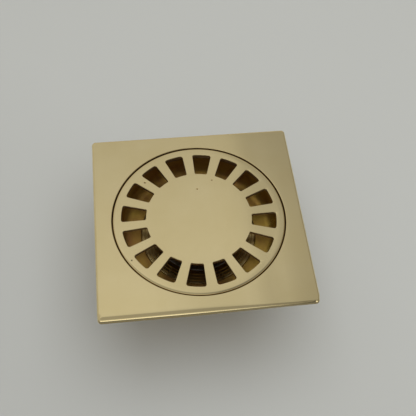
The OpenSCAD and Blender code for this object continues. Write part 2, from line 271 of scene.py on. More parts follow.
class Nodes:
    """Short calls for building one material's node tree."""

    def __init__(self, name):
        self.material = bpy.data.materials.new(name)
        self.material.use_nodes = True
        self.tree = self.material.node_tree
        self.shader = self.tree.nodes["Principled BSDF"]
        self.place = self.tree.nodes.new("ShaderNodeTexCoord").outputs["Object"]

    def add(self, kind, inputs=(), **settings):
        node = self.tree.nodes.new("ShaderNode" + kind)
        for key, value in settings.items():
            setattr(node, key, value)
        for key, value in dict(inputs).items():
            self.put(node.inputs[key], value)
        return node

    def put(self, socket, value):
        if isinstance(value, bpy.types.NodeSocket):
            self.tree.links.new(value, socket)
        else:
            socket.default_value = value

    def set(self, **values):
        """Sets the main shader's sockets, with underscores for spaces."""
        for key, value in values.items():
            self.put(self.shader.inputs[key.replace("_", " ")], value)

    def math(self, operation, *values):
        node = self.add("Math", operation=operation)
        for i, value in enumerate(values):
            self.put(node.inputs[i], value)
        return node.outputs[0]

    def stretched(self, scale, turn=(0, 0, 0)):
        node = self.add("Mapping", {"Vector": self.place})
        node.inputs["Scale"].default_value = scale
        node.inputs["Rotation"].default_value = turn
        return node.outputs[0]

    def noise(self, scale, vector=None, detail=3.0, roughness=0.55, distortion=0.0):
        node = self.add("TexNoise", {"Scale": scale, "Detail": detail, "Roughness": roughness,
                                     "Distortion": distortion, "Vector": vector or self.place})
        return node.outputs["Fac"]

    def spread(self, value, from_low, from_high, to_low, to_high):
        node = self.add("MapRange", {"Value": value, "From Min": from_low, "From Max": from_high,
                                     "To Min": to_low, "To Max": to_high})
        return node.outputs[0]

    def blend(self, factor, first, second):
        """A colour between two, by a factor from 0 to 1."""
        node = self.add("Mix", data_type="RGBA")
        for socket, value in ((node.inputs[0], factor), (node.inputs[6], first),
                              (node.inputs[7], second)):
            self.put(socket, (*value, 1) if isinstance(value, tuple) else value)
        return node.outputs[2]

    def radius(self):
        """Distance from the drain's axis, in metres."""
        parts = self.add("SeparateXYZ", {"Vector": self.place})
        x, y = parts.outputs[0], parts.outputs[1]
        return self.math("SQRT", self.math("ADD", self.math("MULTIPLY", x, x),
                                           self.math("MULTIPLY", y, y)))

    def height(self):
        return self.add("SeparateXYZ", {"Vector": self.place}).outputs[2]

    def bump(self, height, strength, distance, normal=None):
        node = self.add("Bump", {"Height": height, "Strength": strength, "Distance": distance})
        if normal is not None:
            self.put(node.inputs["Normal"], normal)
        return node.outputs[0]


def polished_brass(name, edge_depth, edge_from):
    """Buffed brass: fine polishing lines, cloudy tarnish, small pits and a mirror finish. The top face
    is polished, and so is all that lies beyond the radius edge_from down to edge_depth. The walls of
    holes and the rest of the underside are dull, darkened by tarnish together with painted shade."""
    n = Nodes(name)
    z = n.height()
    face = n.spread(z, TOP - 0.32 * MM, TOP - 0.14 * MM, 0.0, 1.0)
    edge_low = TOP - edge_depth
    edge = n.math("MULTIPLY", n.spread(z, edge_low - 0.2 * MM, edge_low, 0.0, 1.0),
                  n.spread(n.radius(), edge_from, edge_from + 0.5 * MM, 0.0, 1.0))
    polish = n.math("MAXIMUM", face, edge)
    cloud = n.noise(38, detail=4)
    smear = n.noise(9, n.stretched((14, 1.1, 1)), detail=2)
    lines = n.noise(900, n.stretched((1, 0.04, 1), (0, 0, 0.35)), detail=2)
    fine = n.noise(5200, detail=1)
    pits = n.add("TexVoronoi", {"Vector": n.place, "Scale": 210.0}, feature="F1").outputs[0]
    pit = n.spread(pits, 0.035, 0.07, 0.0, 1.0)
    clean, aged = (0.945, 0.800, 0.455), (0.900, 0.752, 0.405)
    tone = n.blend(n.spread(cloud, 0.35, 0.72, 0.0, 1.0), clean, aged)
    tone = n.blend(n.spread(smear, 0.42, 0.75, 0.0, 0.35), tone, aged)
    # painted shade: this dull tone darkens the hole walls, the seam and the underside, on top of the
    # unpolished brass's tarnish
    tarnish_and_shade = n.blend(n.spread(cloud, 0.35, 0.7, 0.0, 1.0), (0.42, 0.29, 0.13), (0.24, 0.14, 0.07))
    n.set(Metallic=n.spread(polish, 0.0, 1.0, 0.8, 1.0), Base_Color=n.blend(polish, tarnish_and_shade, tone))
    rough = n.math("ADD", n.spread(cloud, 0.3, 0.75, 0.085, 0.12), n.spread(lines, 0.4, 0.8, 0.0, 0.03))
    n.set(Roughness=n.math("ADD", rough, n.spread(polish, 0.0, 1.0, 0.30, 0.0)))
    normal = n.bump(lines, 0.10, 0.00002)
    normal = n.bump(fine, 0.08, 0.00001, normal)
    normal = n.bump(pit, 0.25, 0.00003, normal)
    n.set(Normal=normal)
    return n.material


def satin_brass(name, tone_a, tone_b, rough, groove_pitch, metallic=1.0):
    """Turned brass: feed lines round the axis, water stains and a duller skin."""
    n = Nodes(name)
    along = n.math("ADD", n.radius(), n.height())
    wave = n.math("SINE", n.math("MULTIPLY", along, 2 * math.pi / groove_pitch))
    wander = n.noise(160, detail=3)
    stain = n.noise(46, detail=5, roughness=0.65, distortion=0.6)
    tone = n.blend(n.spread(stain, 0.34, 0.70, 0.0, 1.0), tone_a, tone_b)
    dark = tuple(c * 0.55 for c in tone_b)
    tone = n.blend(n.spread(wander, 0.60, 0.80, 0.0, 0.55), tone, dark)
    n.set(Metallic=metallic, Base_Color=tone,
          Roughness=n.spread(stain, 0.3, 0.8, rough, rough + 0.16))
    normal = n.bump(wave, 0.35, 0.00002)
    normal = n.bump(wander, 0.30, 0.00004, normal)
    n.set(Normal=normal)
    return n.material


def stainless(name, rough):
    """Brushed stainless steel."""
    n = Nodes(name)
    grain = n.noise(1500, n.stretched((1, 1, 0.05)), detail=2)
    cloud = n.noise(70, detail=4)
    tone = n.blend(n.spread(cloud, 0.3, 0.7, 0.0, 1.0), (0.60, 0.59, 0.57), (0.50, 0.49, 0.47))
    n.set(Metallic=1.0, Base_Color=tone,
          Roughness=n.math("ADD", n.spread(grain, 0.3, 0.7, 0.0, 0.10),
                           n.spread(cloud, 0.3, 0.7, rough, rough + 0.08)))
    n.set(Normal=n.bump(grain, 0.20, 0.00002))
    return n.material


def spring_steel():
    """Drawn wire, a little darker, with lines along its length."""
    n = Nodes("spring_steel")
    grain = n.noise(2600, n.stretched((1, 1, 3)), detail=2)
    cloud = n.noise(300, detail=3)
    tone = n.blend(n.spread(cloud, 0.35, 0.7, 0.0, 1.0), (0.46, 0.45, 0.44), (0.30, 0.29, 0.28))
    n.set(Metallic=1.0, Base_Color=tone, Roughness=n.spread(cloud, 0.3, 0.7, 0.24, 0.38))
    n.set(Normal=n.bump(grain, 0.20, 0.00001))
    return n.material


def black_rubber():
    n = Nodes("black_rubber")
    grain = n.noise(1400, detail=4, roughness=0.7)
    bloom = n.noise(120, detail=3)
    tone = n.blend(n.spread(bloom, 0.4, 0.75, 0.0, 1.0), (0.020, 0.020, 0.021), (0.052, 0.050, 0.048))
    n.set(Base_Color=tone, Roughness=n.spread(bloom, 0.3, 0.75, 0.48, 0.70))
    n.set(Normal=n.bump(grain, 0.35, 0.00004))
    return n.material


def silicone():
    n = Nodes("silicone")
    cloud = n.noise(150, detail=3)
    grain = n.noise(1800, detail=3)
    tone = n.blend(n.spread(cloud, 0.35, 0.7, 0.0, 1.0), (0.74, 0.73, 0.67), (0.62, 0.60, 0.53))
    n.set(Base_Color=tone, Roughness=n.spread(grain, 0.3, 0.7, 0.36, 0.50),
          Subsurface_Weight=0.35, Subsurface_Scale=0.0015)
    n.set(Normal=n.bump(grain, 0.20, 0.00002))
    return n.material


def nylon():
    n = Nodes("nylon")
    grain = n.noise(1100, detail=3)
    cloud = n.noise(210, detail=2)
    tone = n.blend(n.spread(cloud, 0.35, 0.7, 0.0, 1.0), (0.80, 0.78, 0.70), (0.71, 0.68, 0.59))
    n.set(Base_Color=tone, Roughness=n.spread(cloud, 0.3, 0.7, 0.40, 0.55),
          Subsurface_Weight=0.2, Subsurface_Scale=0.001)
    n.set(Normal=n.bump(grain, 0.18, 0.00002))
    return n.material


def floor_paint():
    """The pale studio floor: the faintest mottling, and painted shade that makes it a little darker
    towards the front left.
    """
    n = Nodes("floor_paint")
    cloud = n.noise(5, detail=2)
    place = n.add("SeparateXYZ", {"Vector": n.place})
    # painted shade: a falloff that darkens the floor's tone towards the front left
    painted_falloff = n.math("ADD", n.math("MULTIPLY", place.outputs[0], 0.32),
                   n.math("MULTIPLY", place.outputs[1], 0.36))
    shade = n.math("SUBTRACT", n.spread(painted_falloff, -0.10, 0.10, 0.88, 1.08), n.math("MULTIPLY", cloud, 0.015))
    tone = n.blend(shade, (0, 0, 0), FLOOR_TONE)
    n.set(Base_Color=tone, Roughness=0.85, Specular_IOR_Level=0.25)
    return n.material


# ---------------------------------------------------------------- camera, light and floor

FLOOR_TONE = (0.574, 0.590, 0.570)
CAMERA_FROM_TOP = Vector((-26.52, -181.25, 288.66)) * MM     # from the middle of the panel's top
CAMERA_TURN = tuple(math.radians(a) for a in (33.145, 0.0, -9.56))
CAMERA_ROLL = math.radians(3.76)
LENS = 61.77


def make_camera():
    data = bpy.data.cameras.new("camera")
    data.lens = LENS
    data.sensor_width = 36
    data.clip_start = 0.01
    data.clip_end = 20
    camera = bpy.data.objects.new("camera", data)
    bpy.context.scene.collection.objects.link(camera)
    turn = Euler(CAMERA_TURN).to_matrix() @ Matrix.Rotation(CAMERA_ROLL, 3, "Z")
    camera.matrix_world = (Matrix.Translation(Vector((0, 0, TOP)) + CAMERA_FROM_TOP)
                           @ turn.to_4x4())
    bpy.context.scene.camera = camera


def aim(made, place, target):
    made.location = place
    made.rotation_euler = (Vector(target) - Vector(place)).to_track_quat("-Z", "Y").to_euler()


def soft_light(name, place, target, size, power, tone):
    data = bpy.data.lights.new(name, "AREA")
    data.shape = "RECTANGLE"
    data.size, data.size_y = size
    data.energy = power
    data.color = tone
    made = bpy.data.objects.new(name, data)
    bpy.context.scene.collection.objects.link(made)
    aim(made, place, target)
    made.visible_glossy = False


def reflected_card(name, corners, shade):
    """A studio card that shows only in reflections. shade(nodes, x, y, z) gives its brightness."""
    bm = bmesh.new()
    bm.faces.new([bm.verts.new(p) for p in corners])
    mesh = bpy.data.meshes.new(name)
    bm.to_mesh(mesh)
    bm.free()
    made = bpy.data.objects.new(name, mesh)
    bpy.context.scene.collection.objects.link(made)
    n = Nodes(name)
    place = n.add("SeparateXYZ", {"Vector": n.place}).outputs
    light = n.add("Emission", {"Color": (1.0, 0.985, 0.95, 1), "Strength": shade(n, *place)})
    n.tree.links.new(light.outputs[0], n.tree.nodes["Material Output"].inputs["Surface"])
    mesh.materials.append(n.material)
    made.visible_camera = False
    made.visible_diffuse = False
    made.visible_shadow = False


def ceiling_shade(n, x, y, z):
    """Brighter near and on the left, with a darker strip and a lighter band beyond it on the right,
    and dimmer overhead and in front."""
    glow = n.spread(y, 0.42, 0.83, 0.600, 0.462)
    fade = n.math("MULTIPLY", n.spread(x, -0.02, 0.09, 0.0, 0.085), n.spread(y, 0.42, 0.54, 1.0, 0.0))
    glow = n.math("SUBTRACT", glow, fade)
    band = n.math("ABSOLUTE", n.math("SUBTRACT", x, 0.247))
    band = n.math("MULTIPLY", n.spread(band, 0.004, 0.024, 0.20, 0.0), n.spread(y, 0.42, 0.83, 1.0, 0.1))
    side = n.math("ADD", n.spread(x, 0.185, 0.215, 1.0, 0.73), band)
    side = n.math("MULTIPLY", side, n.spread(x, 0.262, 0.280, 1.0, 0.94))
    return n.math("MULTIPLY", n.math("MULTIPLY", glow, side), n.spread(y, 0.05, 0.36, 0.56, 1.0))


def window_shade(n, x, y, z):
    """A low bright window in front that fades out to the right and upwards, above a dark sill."""
    across = n.math("MULTIPLY", n.spread(x, 0.05, 0.40, 1.3, 0.5), n.spread(x, 0.31, 0.37, 1.0, 0.3))
    upwards = n.math("MINIMUM", n.spread(z, 0.16, 0.24, 0.15, 1.0), n.spread(z, 0.42, 0.66, 1.0, 0.5))
    return n.math("MULTIPLY", across, upwards)


def sill_shade(n, x, y, z):
    """The shaded floor in front, as the near edge of the panel shows it."""
    return n.spread(y, -0.6, -0.1, 0.13, 0.20)


def wall_shade(n, x, y, z):
    """The dark wall on the right."""
    return n.spread(z, 0.0, 1.0, 0.20, 0.27)


def make_stage():
    world = bpy.data.worlds.new("studio")
    bpy.context.scene.world = world
    world.use_nodes = True
    backdrop = world.node_tree.nodes["Background"]
    backdrop.inputs["Color"].default_value = (1.0, 0.95, 0.87, 1)
    backdrop.inputs["Strength"].default_value = 0.454
    bpy.context.scene.view_settings.view_transform = "Standard"

    bm = bmesh.new()
    reach = 3.0
    bmesh.ops.create_grid(bm, x_segments=8, y_segments=8, size=reach)
    mesh = bpy.data.meshes.new("studio_floor")
    bm.to_mesh(mesh)
    bm.free()
    floor = bpy.data.objects.new("studio_floor", mesh)
    bpy.context.scene.collection.objects.link(floor)
    mesh.materials.append(floor_paint())

    left, right, front, back = -1.8, 1.2, -1.6, 1.4
    low_edge, window_top, above = 0.02, 0.92, TOP + 1.0
    over_floor, before_panel = 0.001, -0.058
    wall_x, ceiling_front = 1.25, -1.3
    reflected_card("ceiling", ((-right, ceiling_front, above), (right, ceiling_front, above),
                               (right, back, above), (-right, back, above)), ceiling_shade)
    reflected_card("window", ((left, front, low_edge), (right, front, low_edge),
                              (right, front, window_top), (left, front, window_top)), window_shade)
    reflected_card("shade_in_front", ((left, front, over_floor), (right, front, over_floor),
                                      (right, before_panel, over_floor), (left, before_panel, over_floor)),
                   sill_shade)
    reflected_card("wall", ((wall_x, front, low_edge), (wall_x, back, low_edge),
                            (wall_x, back, above), (wall_x, front, above)), wall_shade)
    soft_light("overhead", (0.15, 0.0, 1.05), (0.15, 0.0, 0), (1.2, 1.5), 6.95, (0.98, 1.0, 1.03))


# ---------------------------------------------------------------- pieces of the body

def square_ring(inset, z, side_points=128, corner_points=8):
    """Points of the panel's outline, moved in by inset. Every call gives the same count."""
    ring = []
    reach = HALF - CORNER_R
    radius = max(CORNER_R - inset, 0)
    edge = HALF - inset
    for quarter in range(4):
        turn = Matrix.Rotation(quarter * math.pi / 2, 2)
        flat = min(reach, edge)
        for i in range(side_points):
            t = math.tan(math.radians(-45 + 90 * (i + 0.5) / side_points))
            ring.append(turn @ Vector((edge, flat * t)))
        for i in range(corner_points):
            a = math.pi / 2 * (i + 0.5) / corner_points
            ring.append(turn @ (Vector((flat, flat)) + Vector((math.cos(a), math.sin(a))) * radius))
    return [Vector((p.x, p.y, z)) for p in ring]


def panel_circle(radius, z):
    """Points of a circle in step with square_ring's."""
    ring = []
    for p in square_ring(0, z):
        flat = Vector((p.x, p.y)).normalized() * radius
        ring.append(Vector((flat.x, flat.y, z)))
    return ring


def between(ring_a, ring_b, share):
    return [a.lerp(b, share) for a, b in zip(ring_a, ring_b)]


# Knocks in the front edge near its right end: place along the edge, half width and depth in mm
DINGS = ((43.7, 0.8, 0.14), (45.6, 0.6, 0.32), (47.5, 0.8, 0.40))
DEEPEST_DING = 0.5
WEAR_FROM, WEAR_TO = -15, 45              # where the front edge's wear starts and is full, in mm
FRONT_BAND, FRONT_FADE = 4 * MM, 1.5 * MM    # how far in the front side's shape reaches, and its fade


def clamped(value):
    return min(1, max(0, value))


def worn(ring, front_ring, worn_ring):
    """An edge ring that is rounder along the front side and buffed down towards its right end, with
    its knocks, which fade out at the panel's two faces."""
    made = []
    for side, soft, buffed in zip(ring, front_ring, worn_ring):
        front = clamped((-side.y - HALF + FRONT_BAND) / FRONT_FADE)
        along = clamped((side.x / MM - WEAR_FROM) / (WEAR_TO - WEAR_FROM))
        p = side.lerp(soft.lerp(buffed, along * along * (3 - 2 * along)), front)
        height = clamped((side.z - PANEL_UNDER) / (1.5 * MM)) * clamped((TOP - side.z) / (0.2 * MM))
        knock = sum(deep * math.exp(-((side.x / MM - x) / half) ** 2) for x, half, deep in DINGS)
        depth = front * height * min(knock, DEEPEST_DING) * MM
        p.z -= depth
        p.y += 0.6 * depth
        made.append(p)
    return made


def make_panel(material):
    """Square plate with rounded top edges, worn at the front right, the grate's seat and ledge, and
    the collar below."""
    bevel = 0.25 * MM
    seat = fillet([(SEAT_R, TOP, bevel), (SEAT_R, LEDGE, 0.1 * MM), (BOWL_IN_R, LEDGE, bevel),
                   (BOWL_IN_R, BOWL_TOP, 0), (BOWL_R, BOWL_TOP, 0), (BOWL_R, COLLAR_LOW, bevel),
                   (COLLAR_R, COLLAR_LOW, 2 * bevel), (COLLAR_R, PANEL_UNDER, bevel),
                   (COLLAR_R + 4 * MM, PANEL_UNDER, 0), (SEAT_R + 3 * MM, TOP, 0)])
    section = [panel_circle(p.x, p.y) for p in seat]
    under_edge = square_ring(0.3 * MM, PANEL_UNDER)
    section += [between(section[-2], under_edge, s) for s in (0.35, 0.7)]
    last_top = section.pop(len(seat) - 1)             # the circle where the top face starts
    roundings = (0.3, 1.4), (0.3, 2.4), (1.2, 1.2)    # (lower, upper) of the sides, front and worn front
    worn_away = 0.4 * MM
    edges = [edge_steps(PANEL_UNDER, TOP, lower * MM, upper * MM) for lower, upper in roundings]
    for side, front, (inset, z) in zip(*edges):
        section.append(worn(square_ring(*side), square_ring(*front), square_ring(inset + worn_away, z)))
    section += [between(section[-1], last_top, s) for s in (0.3, 0.65, 1.0)]
    bm = bmesh.new()
    skin(bm, section, along=True)
    return piece("panel_finished", bm, "root", "panel", material)


def make_bowl(material):
    seat = FLANGE_R + 0.3 * MM
    bm = turned([(seat, FLOOR, 0.15 * MM), (BOWL_IN_R, FLOOR, BOWL_CURVE), (BOWL_IN_R, BOWL_TOP, 0),
                 (BOWL_R, BOWL_TOP, 0), (BOWL_R, BOWL_LOW, BOWL_CURVE), (SPIGOT_R, BOWL_LOW, 0.2 * MM),
                 (SPIGOT_R, FLANGE_LOW, 0.1 * MM), (seat, FLANGE_LOW, 0.1 * MM)])
    return piece("bowl_finished", bm, "root", "bowl", material)


def make_spigot(material):
    end = 1 * MM
    collar_low = BOWL_LOW - 2 * MM
    braze = 0.6 * MM
    bm = turned([(SPIGOT_IN_R, 0, 0.2 * MM), (SPIGOT_R - end, 0, 0.2 * MM), (SPIGOT_R, end, 0.3 * MM),
                 (SPIGOT_R, collar_low, braze), (SPIGOT_COLLAR_R, collar_low, 0.5 * MM),
                 (SPIGOT_COLLAR_R, BOWL_LOW, 0.3 * MM), (SPIGOT_R, BOWL_LOW, 0),
                 (SPIGOT_R, FLANGE_LOW, 0.1 * MM), (SPIGOT_IN_R, FLANGE_LOW, 0.3 * MM)])
    return piece("spigot_finished", bm, "root", "spigot", material)


# ---------------------------------------------------------------- grate and its ring

SLOTS = 16
SLOT_IN_R, SLOT_OUT_R = 25.4 * MM, 37.2 * MM
SLOT_IN_W, SLOT_OUT_W = 5.8 * MM, 9.4 * MM
SLOT_CORNER = 1.15 * MM
SLOT_PHASE = math.radians(14.6)
ARC_POINTS = 5
WEB = 1.8 * MM                            # the grate's thickness inside its rim
RIM_IN_R = 38.2 * MM
# Casting pits in the grate's face: x, y and radius in mm
PITS = ((-24.5, 22.2, 0.55), (8.5, 20.9, 0.38), (0.7, 16.2, 0.42), (-33.3, -20.8, 0.36))
PIT_STEPS = ((1.0, 0), (0.8, 0.2), (0.45, 0.36))      # share of the radius, and depth in mm


def slot_outline(turn):
    """A slot's outline, clockwise, with its ends curved round the grate's centre."""
    inner = math.asin(SLOT_IN_W / 2 / SLOT_IN_R)
    outer = math.asin(SLOT_OUT_W / 2 / SLOT_OUT_R)

    def arc(radius, start, end):
        angles = [start + (end - start) * k / (ARC_POINTS - 1) for k in range(ARC_POINTS)]
        last = ARC_POINTS - 1
        return [(radius * math.cos(a), radius * math.sin(a), SLOT_CORNER if k in (0, last) else 0)
                for k, a in enumerate(angles)]

    corners = arc(SLOT_IN_R, -inner, inner) + arc(SLOT_OUT_R, outer, -outer)
    spin = Matrix.Rotation(turn, 2)
    return [spin @ p for p in fillet(corners)]


def make_grate(material):
    """Slotted disc with a deeper rim, a rounded top edge and a few casting pits."""
    web_low = TOP - WEB
    bm = bmesh.new()
    rim = fillet([(RIM_IN_R, web_low, 0), (RIM_IN_R, GRATE_LOW, 0.4 * MM), (GRATE_R, GRATE_LOW, 0.3 * MM),
                  (GRATE_R, TOP, 1.2 * MM), (GRATE_R - 3 * MM, TOP, 0)], closed=False)
    rows = lathe(bm, rim, closed=False, segments=256)
    bottoms, tops = [rows[0]], [rows[-1]]
    for i in range(SLOTS):
        outline = slot_outline(SLOT_PHASE + 2 * math.pi * i / SLOTS)
        rows = skin(bm, [[Vector((q.x, q.y, z)) for q in inset_loop(outline, inset)]
                         for inset, z in edge_steps(web_low, TOP, 0.15 * MM, 0.22 * MM)])
        bottoms.append(rows[0])
        tops.append(rows[-1])
    for x, y, radius in PITS:
        rows = skin(bm, [[Vector((q.x, q.y, TOP - depth * MM))
                          for q in circle_outline(radius * share * MM, 14, (x * MM, y * MM), True)]
                         for share, depth in PIT_STEPS])
        bm.faces.new(rows[-1])
        tops.append(rows[0])
    cap(bm, bottoms)
    cap(bm, tops)
    return piece("grate_finished", bm, "grate", "grate", material)


def make_grate_ring(material):
    lowest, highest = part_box("grate_ring")
    bm = turned(washer_profile(highest.x, 38.8 * MM, lowest.z, highest.z, 0.2 * MM, 0.2 * MM))
    return piece("grate_ring_finished", bm, "seat_ring", "grate_ring", material)


# ---------------------------------------------------------------- trap core

O_RING = 1.5 * MM
GROOVE_R = BARREL_R - 1.05 * MM
FLANGE_LINES = (23.2, 24.8, 26.4)


def make_core_body(material):
    """Flange with its basket seat and turned lines, and the barrel with its ring grooves and lip."""
    tiny, small = 0.1 * MM, 0.3 * MM
    basket_seat = BASKET_RIM_R + 0.3 * MM
    profile = [(BARREL_IN_R, BASKET_RIM_LOW, tiny), (basket_seat, BASKET_RIM_LOW, 0),
               (basket_seat, FLOOR, tiny)]
    line_half, line_deep = 0.15 * MM, 0.15 * MM
    for r in FLANGE_LINES:
        profile += [(r * MM - line_half, FLOOR, 0), (r * MM, FLOOR - line_deep, 0),
                    (r * MM + line_half, FLOOR, 0)]
    profile += [(FLANGE_R, FLOOR, small), (FLANGE_R, FLANGE_LOW, small), (BARREL_R, FLANGE_LOW, 0)]
    for node in ("upper_o_ring", "lower_o_ring"):
        upper, lower = high(node).z + tiny, low(node).z - tiny
        profile += [(BARREL_R, upper, tiny), (GROOVE_R, upper, tiny),
                    (GROOVE_R, lower, tiny), (BARREL_R, lower, tiny)]
    clip_low, clip_high = low("bridge_circlip").z, high("bridge_circlip").z
    clip_r = 18.5 * MM
    lip_r = 16.6 * MM
    profile += [(BARREL_R, BARREL_LOW, small), (lip_r, BARREL_LOW, 0.2 * MM), (lip_r, BRIDGE_LOW, tiny),
                (BARREL_IN_R, BRIDGE_LOW, 0), (BARREL_IN_R, clip_low, 0), (clip_r, clip_low, 0),
                (clip_r, clip_high, 0), (BARREL_IN_R, clip_high, 0)]
    return piece("core_body_finished", turned(profile), "core", "core_body", material)


def make_o_ring(node, material):
    """A moulded ring, pressed flat where it lies in its groove, with its parting line."""
    middle = (low(node).z + high(node).z) / 2
    half = O_RING / 2
    outer = high(node).x
    seam = 0.03 * MM
    profile = []
    sides = 28
    for k in range(sides):
        a = 2 * math.pi * k / sides
        r = outer - half + half * math.cos(a) - (seam if k else 0)
        profile.append((max(r, GROOVE_R), middle + half * math.sin(a)))
    bm = bmesh.new()
    lathe(bm, profile)
    return piece(node + "_finished", bm, "core", node, material, sharp=60)


BRIDGE_RING_R = BARREL_IN_R - 0.1 * MM
BRIDGE_IN_R = BRIDGE_RING_R - 2 * MM
BRIDGE_THICK = 2.2 * MM
HUB_R = 4.5 * MM
BUSH_R = 3 * MM
ARM_HALF = 1.3 * MM


def bridge_window(middle):
    """One opening between two arms, clockwise."""
    points = []
    count = 25
    for radius, way in ((BRIDGE_IN_R, 1), (HUB_R, -1)):
        side = math.radians(60) - math.asin(ARM_HALF / radius)
        for k in range(count):
            a = way * side * (1 - 2 * k / (count - 1))
            corner = 0.8 * MM if k in (0, count - 1) else 0
            points.append((radius * math.cos(a), radius * math.sin(a), corner))
    spin = Matrix.Rotation(middle, 2)
    return [spin @ p for p in fillet(points)]


def make_guide_bridge(material):
    bm = bmesh.new()
    windows = [bridge_window(math.radians(a)) for a in (30, 150, 270)]
    bush_hole = circle_outline(BUSH_R, 64, clockwise=True)
    plate(bm, circle_outline(BRIDGE_RING_R, SEGMENTS), windows + [bush_hole],
          BRIDGE_LOW, BRIDGE_LOW + BRIDGE_THICK, (0.2 * MM, 0.2 * MM), (0.12 * MM, 0.12 * MM))
    lathe(bm, fillet(washer_profile(HUB_R - 0.05 * MM, BUSH_R, BRIDGE_LOW + BRIDGE_THICK - 0.3 * MM,
                                    HUB_TOP, 0.25 * MM, 0.1 * MM)), segments=96)
    return piece("guide_bridge_finished", bm, "core", "guide_bridge", material)


def make_bridge_circlip(material):
    """Open spring ring with a small hole for pliers near each end."""
    outer, inner = high("bridge_circlip").y, BARREL_IN_R - 1.4 * MM
    gap_half = 4.5 * MM
    count = 121
    points = []
    for radius, way in ((outer, 1), (inner, -1)):
        start = math.asin(gap_half / radius)
        for k in range(count):
            share = k / (count - 1)
            a = start + (2 * math.pi - 2 * start) * (share if way > 0 else 1 - share)
            points.append((radius * math.cos(a), radius * math.sin(a),
                           0.5 * MM if k in (0, count - 1) else 0))
    middle = (outer + inner) / 2
    eye = math.asin(gap_half / middle) + 1.2 * MM / middle
    holes = [circle_outline(0.45 * MM, 24, (middle * math.cos(a), middle * math.sin(a)), True)
             for a in (eye, -eye)]
    bm = bmesh.new()
    plate(bm, fillet(points), holes, low("bridge_circlip").z, high("bridge_circlip").z,
          (0.1 * MM, 0.1 * MM), (0.05 * MM, 0.05 * MM))
    return piece("bridge_circlip_finished", bm, "core", "bridge_circlip", material)


def make_guide_bush(material):
    bore = STEM_R + 0.06 * MM
    bm = turned([(bore, BRIDGE_LOW, 0.15 * MM), (BUSH_R, BRIDGE_LOW, 0.1 * MM), (BUSH_R, HUB_TOP, 0),
                 (HUB_R - 0.1 * MM, HUB_TOP, 0.1 * MM), (HUB_R - 0.1 * MM, high("guide_bush").z, 0.2 * MM),
                 (bore, high("guide_bush").z, 0.15 * MM)], segments=96)
    return piece("guide_bush_finished", bm, "core", "guide_bush", material)


# ---------------------------------------------------------------- valve

def threaded_rod(bm, z_low, z_high, radius, threads, pitch, depth, sides=48):
    """A round rod whose surface carries a helical thread between each (start, end) in threads."""
    def reach(angle, z):
        for start, end in threads:
            if start <= z <= end:
                fade = min(1, (z - start) / pitch, (end - z) / pitch)
                turn = (z / pitch - angle / (2 * math.pi)) % 1
                return radius - depth * fade * (1 - abs(2 * turn - 1))
        return radius

    rows_per_half_turn = 6
    rows = 2 * math.ceil((z_high - z_low) / pitch * rows_per_half_turn)
    bevel = 0.25 * MM
    rings = []
    for k in range(rows + 1):
        z = z_low + (z_high - z_low) * k / rows
        taper = max(0, bevel - (z - z_low), bevel - (z_high - z))
        rings.append([Vector(((reach(a, z) - taper) * math.cos(a), (reach(a, z) - taper) * math.sin(a), z))
                      for a in (2 * math.pi * s / sides for s in range(sides))])
    made = skin(bm, rings)
    bm.faces.new(made[0][::-1])
    bm.faces.new(made[-1])


def make_valve_stem(material):
    """Stem with a thread at each end, and the shoulder that bears on the seal."""
    bm = bmesh.new()
    bottom, top = low("valve_stem").z, high("valve_stem").z
    shoulder_low = high("valve_seal").z
    threaded_rod(bm, bottom, top, STEM_R, [(bottom, shoulder_low - 3 * MM), (top - 5 * MM, top)],
                 0.7 * MM, 0.28 * MM)
    lathe(bm, fillet(washer_profile(high("valve_stem").x, STEM_R - 0.2 * MM, shoulder_low,
                                    shoulder_low + 1.2 * MM, 0.2 * MM, 0)), segments=96)
    return piece("valve_stem_finished", bm, "valve", "valve_stem", material)


def make_valve_seal(material):
    """Soft disc with rounded rim edges."""
    lowest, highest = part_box("valve_seal")
    r = highest.x
    bm = turned([(STEM_R, lowest.z, 0), (r - 1.5 * MM, lowest.z, 0.1 * MM), (r, lowest.z, 0.5 * MM),
                 (r, highest.z, 0.4 * MM), (r - 1.6 * MM, highest.z, 0.3 * MM),
                 (r - 4 * MM, highest.z, 0.3 * MM), (STEM_R, highest.z, 0)])
    return piece("valve_seal_finished", bm, "valve", "valve_seal", material)


def make_valve_disc(material):
    lowest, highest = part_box("valve_disc")
    dish = 0.25 * MM
    r = highest.x
    bm = turned([(STEM_R, lowest.z + dish, 0), (6 * MM, lowest.z, 0.8 * MM), (r, lowest.z, 0.5 * MM),
                 (r, highest.z, 0.15 * MM), (STEM_R, highest.z, 0)])
    return piece("valve_disc_finished", bm, "valve", "valve_disc", material)


def make_clamp_washer(material):
    lowest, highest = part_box("clamp_washer")
    bm = turned(washer_profile(highest.x, STEM_R, lowest.z, highest.z, 0.2 * MM, 0.05 * MM), segments=96)
    return piece("clamp_washer_finished", bm, "valve", "clamp_washer", material)


